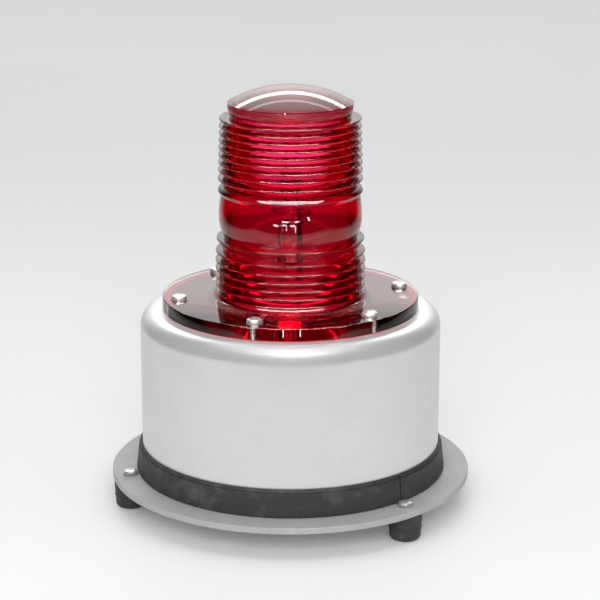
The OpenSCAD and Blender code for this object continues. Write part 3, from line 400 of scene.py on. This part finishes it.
# The ribs next to the bulge stand wider apart, and each further one by a third of that
RIB_SPREAD, RIB_CROWD = 4.95, 3.0
LOWER_DROP, UPPER_CLEAR, CAP_CLEAR = 0.1, 2.96, 1.4
LEDGE, LIP_SHARE, LIP_START, LIP_END = 0.25, 0.53, 19, 79
BULGE_R, BULGE_Z, BULGE_LOW, BULGE_UP = 49.8, 64.2, 13.6, 15.9
BULGE_FALL_LOW, BULGE_FALL_UP, BULGE_STEPS = 3.5, 1.6, 28
COVE, COVE_INSET, EDGE_ROUND, EDGE_LEAN, EDGE_FOOT = 3.0, 0.4, 0.8, 0.35, 0.6
CAP_FOOT_R, CAP_RIM_R, CAP_SIDE, DOME_R = 41.4, 43.3, 9.5, 86.2
CAP_STEPS = (0, 0.12, 0.25, 0.4, 0.6, 0.8)
IN_LOW, IN_TOP, TOP_THIN, TOP_ROUND = 43.5, 37.8, 1.5, 2.0
FOOT_GAP = 0.05

# The mould's parting line, on both sides, from the flange's edge to the dome
SEAM_ANGLE, SEAM_HALF, SEAM_LIFT = -109.0, 0.5, 0.14
SEAM_FROM = 3

LENS_COLUMNS, LAYER_COLUMNS, HOLE_COLUMNS = 300, 180, 40
SHARP_EDGE = 28


def arc(r, z, radius, start, end, steps):
    """Points on an arc round (r, z)."""
    turns = [math.radians(start + (end - start) * i / steps) for i in range(steps + 1)]
    return [(r + radius * math.cos(a), z + radius * math.sin(a)) for a in turns]


def nose(r, z, end=NOSE_END):
    """A rib's rounded nose, which reaches out to radius r."""
    return arc(r - RIB_NOSE, z, RIB_NOSE, -NOSE_END, end, 10)


def groove(r, low, high, share=LEDGE):
    """The bottom of the groove between the noses at heights low and high."""
    return (r - RIB_DEPTH, low + RIB_NOSE + share * (high - low - 2 * RIB_NOSE))


def crown(start, end):
    """The lip's rounded upper face, from its nose to the groove above it."""
    half = math.radians(LIP_END - LIP_START) / 2
    chord = math.dist(start, end)
    radius = chord / (2 * math.sin(half))
    tilt = math.atan2(end[1] - start[1], end[0] - start[0]) - math.pi / 2
    middle = ((start[0] + end[0]) / 2 - radius * math.cos(half) * math.cos(tilt),
              (start[1] + end[1]) / 2 - radius * math.cos(half) * math.sin(tilt))
    first, last = math.degrees(tilt - half), math.degrees(tilt + half)
    return arc(*middle, radius, first, last, 10)[1:]


def bulge(z):
    """The bulge's radius at a height."""
    if z < BULGE_Z:
        return BULGE_R - BULGE_FALL_LOW * ((BULGE_Z - z) / BULGE_LOW) ** 2
    return BULGE_R - BULGE_FALL_UP * ((z - BULGE_Z) / BULGE_UP) ** 2


def crowding(k):
    """How much further the kth rib from the bulge stands than even spacing would put it."""
    return RIB_SPREAD * (1 - RIB_CROWD ** -k)


def lower_ribs():
    """The lower ribs' noses, from the bulge down."""
    top = FLANGE_T + COVE - LOWER_DROP + LOWER_PITCH * (LOWER_RIBS - 1) + crowding(LOWER_RIBS - 1)
    return [(LOWER_R - RIB_CROWD ** -k, top - LOWER_PITCH * k - crowding(k)) for k in range(LOWER_RIBS)]


def upper_ribs():
    """The upper ribs' noses, from the bulge up. The first is the lip."""
    first = BULGE_Z + BULGE_UP + UPPER_CLEAR
    return [(UPPER_R - UPPER_DRAFT * k, first + UPPER_PITCH * k + crowding(k)) for k in range(UPPER_RIBS)]


def flange_outline():
    """The flange's underside, its edge and the cove up to the lowest rib."""
    out = [(IN_LOW, FOOT_GAP), (FLANGE_R, FOOT_GAP), (FLANGE_R, EDGE_FOOT)]
    out += arc(FLANGE_R - EDGE_LEAN - EDGE_ROUND, FLANGE_T - EDGE_ROUND, EDGE_ROUND, 0, 90, 5)
    return out + arc(LOWER_R - COVE_INSET + COVE, FLANGE_T + COVE, COVE, -90, -170, 8)


def lower_outline():
    """The lower ribs, from the flange up."""
    out = []
    ribs = lower_ribs()
    for k in reversed(range(LOWER_RIBS)):
        r, z = ribs[k]
        out += nose(r, z)
        if k:
            out.append(groove(r, z, ribs[k - 1][1]))
    return out


def bulge_outline():
    """The smooth bulge, from the lower ribs up."""
    span = BULGE_LOW + BULGE_UP
    heights = [BULGE_Z - BULGE_LOW + span * i / BULGE_STEPS for i in range(BULGE_STEPS + 1)]
    return [(bulge(z), z) for z in heights]


def upper_outline():
    """The lip and the ribs above it."""
    ribs = upper_ribs()
    out = nose(*ribs[0], LIP_START)
    for k in range(1, UPPER_RIBS):
        r, z = ribs[k]
        below = ribs[k - 1][1]
        out += [groove(r, below, z)] if k > 1 else crown(out[-1], groove(r, below, z, LIP_SHARE))
        out += nose(r, z)
    return out


def cap_outline():
    """The cap's side, the dome over it and the flat top inside."""
    foot = upper_ribs()[-1][1] + CAP_CLEAR
    rim = foot + CAP_SIDE
    flare = CAP_RIM_R - CAP_FOOT_R
    out = [(CAP_FOOT_R + flare * (1 - (1 - t) ** 3), foot + CAP_SIDE * t) for t in CAP_STEPS]
    lean = math.degrees(math.asin(CAP_RIM_R / DOME_R))
    out += arc(0, rim - math.sqrt(DOME_R ** 2 - CAP_RIM_R ** 2), DOME_R, 90 - lean, 90, 24)
    out.append((0, rim - TOP_THIN))
    return out + arc(IN_TOP - TOP_ROUND, rim - TOP_THIN - TOP_ROUND, TOP_ROUND, 90, 0, 6)


def lens_profile():
    """The lens's outline as (radius, height) round the section, from the bore's foot outwards."""
    return flange_outline() + lower_outline() + bulge_outline() + upper_outline() + cap_outline()


def spaced(count):
    """Angles spaced evenly round the whole."""
    return [360 * i / count for i in range(count)]


def lathe(name, profile, angles, seam=0.0):
    """A closed turned body. seam raises the mould's parting line on the outside."""
    bm = bmesh.new()
    rings = []
    summit = max(z for _, z in profile)
    last_outer = max(i for i, (_, z) in enumerate(profile) if z == summit)
    for a in angles:
        off = abs((a - SEAM_ANGLE + 90) % 180 - 90)
        lift = seam * max(0.0, 1 - off / SEAM_HALF)
        along_x, along_y = math.cos(math.radians(a)), math.sin(math.radians(a))
        ring = []
        for i, (r, z) in enumerate(profile):
            out = r + (lift if SEAM_FROM < i < last_outer and r > 1 else 0)
            ring.append(bm.verts.new((out * MM * along_x, out * MM * along_y, (FLANGE_Z + z) * MM)))
        rings.append(ring)
    count = len(profile)
    for this, after in zip(rings, rings[1:] + rings[:1]):
        for k in range(count):
            bm.faces.new((this[k], after[k], after[(k + 1) % count], this[(k + 1) % count]))
    bmesh.ops.remove_doubles(bm, verts=bm.verts, dist=1e-7)
    bmesh.ops.recalc_face_normals(bm, faces=bm.faces)
    return finished(name, bm)


def shade_smooth(mesh):
    """Smooth faces, with the corners kept sharp."""
    for face in mesh.polygons:
        face.use_smooth = True
    mesh.set_sharp_from_angle(angle=math.radians(SHARP_EDGE))


def finished(name, bm):
    """A new object from the mesh being built."""
    mesh = bpy.data.meshes.new(name)
    bm.to_mesh(mesh)
    bm.free()
    shade_smooth(mesh)
    piece = bpy.data.objects.new(name, mesh)
    scene.collection.objects.link(piece)
    return piece


def hole_cutter(count, ring, radius, low, high):
    """A ring of upright cylinders between two heights."""
    bm = bmesh.new()
    for a in range(0, 360, 360 // count):
        out = Matrix.Translation((ring * MM, 0, (low + high) / 2 * MM))
        bmesh.ops.create_cone(bm, cap_ends=True, segments=HOLE_COLUMNS, radius1=radius * MM,
                              radius2=radius * MM, depth=(high - low) * MM,
                              matrix=Matrix.Rotation(math.radians(a), 4, "Z") @ out)
    return finished("cutter", bm)


def cut(piece, cutter):
    """Takes the cutter's solids out of the piece's mesh."""
    step = piece.modifiers.new("holes", "BOOLEAN")
    step.object = cutter
    step.operation = "DIFFERENCE"
    step.solver = "MANIFOLD"
    bpy.context.view_layer.update()
    done = bpy.data.meshes.new_from_object(piece.evaluated_get(bpy.context.evaluated_depsgraph_get()))
    piece.modifiers.clear()
    old = piece.data
    piece.data = done
    bpy.data.meshes.remove(old)
    bpy.data.objects.remove(cutter)
    shade_smooth(done)


def make_layer():
    """The red layer, a thin tapered sleeve inside the lens's wall, just outside its bore."""
    bore_top = lens_profile()[-1][1]
    rim = bore_top + TOP_ROUND + TOP_THIN - LAYER_UNDER_TOP

    def inside(z):
        return IN_LOW + (IN_TOP - IN_LOW) * z / bore_top + LAYER_GAP

    profile = [(inside(LAYER_FOOT), LAYER_FOOT), (inside(LAYER_FOOT) + STAIN_T, LAYER_FOOT),
               (inside(rim) + STAIN_T, rim), (inside(rim), rim)]
    layer = lathe("lens_colour", profile, spaced(LAYER_COLUMNS))
    dress(layer, red_layer())
    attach(layer, "housing")


def make_lens():
    """The lens, turned from its outline, with its seam and its screw holes."""
    columns = spaced(LENS_COLUMNS)
    for side in (0, 180):
        columns += [(SEAM_ANGLE + side + step) % 360 for step in (-SEAM_HALF, 0.0, SEAM_HALF)]
    lens = lathe("lens_glass", lens_profile(), sorted(set(columns)), seam=SEAM_LIFT)
    cut(lens, hole_cutter(SCREWS, SCREW_RING, SCREW_HOLE_R, FLANGE_Z - 2, FLANGE_Z + FLANGE_T + 2))
    dress(lens, MATERIALS["red_glass"])
    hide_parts("lens")
    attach(lens, "housing")


# ---------------------------------------------------------------- set
def turned(x, y, z):
    """A place in the camera's own frame, which is turned against the light's frame."""
    return Matrix.Rotation(TURN, 4, "Z") @ Vector((x, y, z))


def along(g, axis, vector):
    """How far a direction or place reaches along an axis."""
    return g.add("ShaderNodeVectorMath", {"operation": "DOT_PRODUCT"}, i0=vector, i1=axis).outputs["Value"]


def from_behind(g, vector):
    """How far a direction or place points away from the camera's side."""
    return along(g, turned(0, 1, 0), vector)


# Levels of the world. Plain light is the same from all sides. Glossy rays see a pale backdrop behind the
# object that gets brighter upwards, and rays through the glass see a dimmer one.
BACKDROP = srgb(226, 230, 226)
WORLD_PLAIN = 0.58
WORLD_BACK = 0.85
WORLD_LIFT = 0.62
WORLD_THROUGH = 0.24
WORLD_ROUND = 0.10

# Where it starts and ends: the share of a direction that points backwards, and its height
WORLD_FADE = (0.62, 0.99)
WORLD_RISE = (0.05, 0.30)

# Keeps the square root of a direction's level share above zero when it points straight up
ABOVE_ONE = 1.0001


def backdrop_level(g, through_glass):
    """How bright the backdrop shows in a reflection or through the glass, by direction."""
    direction = g.add("ShaderNodeTexCoord").outputs["Generated"]
    height = g.add("ShaderNodeSeparateXYZ", Vector=direction).outputs["Z"]
    lift = g.smooth(height, WORLD_BACK, WORLD_BACK + WORLD_LIFT, *WORLD_RISE)
    level = g.maths("SQRT", g.maths("SUBTRACT", ABOVE_ONE, g.maths("POWER", height, 2.0)))
    fade = g.smooth(g.maths("DIVIDE", from_behind(g, direction), level), 0, 1, *WORLD_FADE)
    mirrored = g.maths("MULTIPLY", g.maths("MULTIPLY", fade, lift), g.maths("SUBTRACT", 1.0, through_glass))
    through = g.maths("ADD", g.maths("MULTIPLY", fade, WORLD_THROUGH), WORLD_ROUND)
    return g.maths("ADD", g.maths("MULTIPLY", through, through_glass), mirrored)


def make_world():
    """Plain light on the object, and the pale backdrop for the camera, metal and glass."""
    world = bpy.data.worlds.new("studio")
    scene.world = world
    world.cycles.sampling_method = "NONE"
    g = Graph(world)
    path = g.add("ShaderNodeLightPath").outputs
    mirrored = g.maths("MAXIMUM", path["Is Glossy Ray"], path["Is Transmission Ray"])
    direct = g.maths("MULTIPLY", mirrored, g.maths("LESS_THAN", path["Diffuse Depth"], 0.5))
    backdrop = g.grey(backdrop_level(g, path["Is Transmission Ray"]))
    seen = g.mix(direct, rgb((WORLD_PLAIN,) * 3), backdrop)
    shown = g.mix(path["Is Camera Ray"], seen, rgb(BACKDROP))
    out = g.add("ShaderNodeOutputWorld")
    g.put(out, "Surface", g.add("ShaderNodeBackground", Color=shown, Strength=1.0).outputs[0])


# The floor's paper, near and far, and the glow that lifts it to the backdrop for the camera
FLOOR_REACH = 9.0
PAPER_NEAR = srgb(246, 247, 247)
PAPER_FAR = srgb(228, 231, 228)
PAPER_MOTTLE = srgb(240, 241, 241)
PAPER_GLOW = srgb(250, 252, 248)
GLOW_LEVEL = (0.05, 0.14)
GLOW_REACH = (0.9, 2.4)

# Where reflections no longer see the floor, in front of the light and beside it
MIRROR_FRONT = (-0.62, -0.50)
MIRROR_SIDE = (0.60, 0.90)


def floor_paper():
    """White paper that fades into the backdrop. Reflections lose it in front of the light and beside it."""
    made = bpy.data.materials.new("floor_paper")
    g = Graph(made)
    place = g.add("ShaderNodeNewGeometry").outputs["Position"]
    behind = from_behind(g, place)
    tint = g.mix(g.spread(behind, 0, 1, 0.4, 2.6), rgb(PAPER_NEAR), rgb(PAPER_FAR))
    mottled = g.mix(g.spread(g.noise(place, 3, 2), 0, 0.25), tint, rgb(PAPER_MOTTLE))
    paper = g.add("ShaderNodeBsdfPrincipled", Roughness=0.55)
    g.put(paper, "Base Color", mottled)
    g.put(paper, "Specular IOR Level", 0.2)
    path = g.add("ShaderNodeLightPath").outputs
    mirrored = g.maths("MAXIMUM", path["Is Glossy Ray"], path["Is Transmission Ray"])
    straight = g.maths("MAXIMUM", path["Is Camera Ray"], path["Is Transmission Ray"])
    glow = g.maths("MULTIPLY", g.smooth(behind, *GLOW_LEVEL, *GLOW_REACH), straight)
    g.put(paper, "Emission Color", rgb(PAPER_GLOW))
    g.put(paper, "Emission Strength", glow)
    aside = g.maths("ABSOLUTE", along(g, turned(1, 0, 0), place))
    lost = g.maths("MAXIMUM", g.spread(behind, 1, 0, *MIRROR_FRONT), g.spread(aside, 0, 1, *MIRROR_SIDE))
    away = g.add("ShaderNodeBsdfTransparent")
    mixed = g.add("ShaderNodeMixShader", i0=g.maths("MULTIPLY", mirrored, lost), i1=paper.outputs[0],
                  i2=away.outputs[0])
    g.put(g.add("ShaderNodeOutputMaterial"), "Surface", mixed.outputs[0])
    return made


def make_floor():
    """A wide square floor."""
    mesh = bpy.data.meshes.new("floor")
    corners = [(x * FLOOR_REACH, y * FLOOR_REACH, 0) for x, y in ((-1, -1), (1, -1), (1, 1), (-1, 1))]
    mesh.from_pydata(corners, [], [(0, 1, 2, 3)])
    floor = bpy.data.objects.new("floor", mesh)
    scene.collection.objects.link(floor)
    mesh.materials.append(floor_paper())


def area_light(name, place, size, power, target=(0, 0, 0.12), soft=True, glossy=True, only=None):
    """A lamp in the camera's own frame, unseen by it. only names the pieces that it lights."""
    lamp = bpy.data.lights.new(name, "AREA")
    lamp.shape = "RECTANGLE"
    lamp.size, lamp.size_y = size
    lamp.energy = power
    holder = bpy.data.objects.new(name, lamp)
    scene.collection.objects.link(holder)
    holder.location = turned(*place)
    holder.rotation_euler = (turned(*target) - holder.location).to_track_quat("-Z", "Y").to_euler()
    holder.visible_camera = False
    holder.visible_diffuse = soft
    holder.visible_glossy = glossy
    if only:
        group = bpy.data.collections.new(name)
        for piece in only:
            group.objects.link(piece)
        holder.light_linking.receiver_collection = group
        holder.visible_transmission = False


# Small bright panes low in front, as (turn, height, width, height of pane), which sparkle in the glass
PANES = [(-7, 0.168, 0.13, 0.016), (9, 0.168, 0.12, 0.016), (-22, 0.115, 0.10, 0.012),
         (-9, 0.122, 0.06, 0.018), (3, 0.112, 0.10, 0.014), (-6, 0.06, 0.012, 0.10),
         (8, 0.06, 0.012, 0.10), (28, 0.20, 0.03, 0.05)]
PANE_REACH = 0.8
PANE_POWER = 110.0
WINDOW_POWER = 190.0


def make_lights():
    """Two soft lamps for the whole, and bright strips and panes that show only as reflections."""
    top = (0, 0, 0.29)
    area_light("key", (-0.05, -2.3, 1.3), (1.6, 1.2), 34, glossy=False)
    area_light("fill", (0.0, -0.35, 2.2), (1.6, 0.8), 7, glossy=False)
    area_light("lip", (0.0, -0.35, 2.2), (1.6, 0.24), 16, soft=False)
    bright = [bpy.data.objects["lens_glass"], nodes["lens_screws"], nodes["lens_washers"]]
    area_light("window", (0.0, -1.15, 1.45), (3.2, 1.3), WINDOW_POWER, (0, 0, 0.22), soft=False, only=bright)
    area_light("second", (0.0, 1.42, 2.1), (2.2, 0.16), 3, top, soft=False, only=bright)
    area_light("shoulder", (0.1, -1.1, 2.0), (1.2, 0.6), 9, soft=False)
    area_light("dome", (0.0, 1.85, 1.60), (2.5, 0.30), 14, top, soft=False)
    for k, (turn, high, wide, tall) in enumerate(PANES):
        a = math.radians(turn)
        place = (PANE_REACH * math.sin(a), -PANE_REACH * math.cos(a), high)
        area_light("pane_%d" % k, place, (wide, tall), PANE_POWER * wide * tall, (0, 0, high), soft=False,
                   only=bright)


def make_camera():
    """The photograph's camera, fitted to the base plate, the can and the ribs."""
    data = bpy.data.cameras.new("camera")
    data.lens = CAMERA_LENS
    data.sensor_width = 36
    data.shift_x = CAMERA_SHIFT
    data.clip_start = 0.05
    camera = bpy.data.objects.new("camera", data)
    scene.collection.objects.link(camera)
    camera.location = turned(0, -CAMERA_BACK, CAMERA_UP)
    camera.rotation_euler = (math.pi / 2 - CAMERA_DOWN, 0, TURN)
    scene.camera = camera


scene.cycles.max_bounces = 24
scene.cycles.transmission_bounces = 24
scene.cycles.transparent_max_bounces = 32
scene.cycles.glossy_bounces = 12
scene.cycles.diffuse_bounces = 4
scene.view_settings.view_transform = "Standard"

dress_nodes()
make_layer()
make_lens()
make_world()
make_floor()
make_lights()
make_camera()
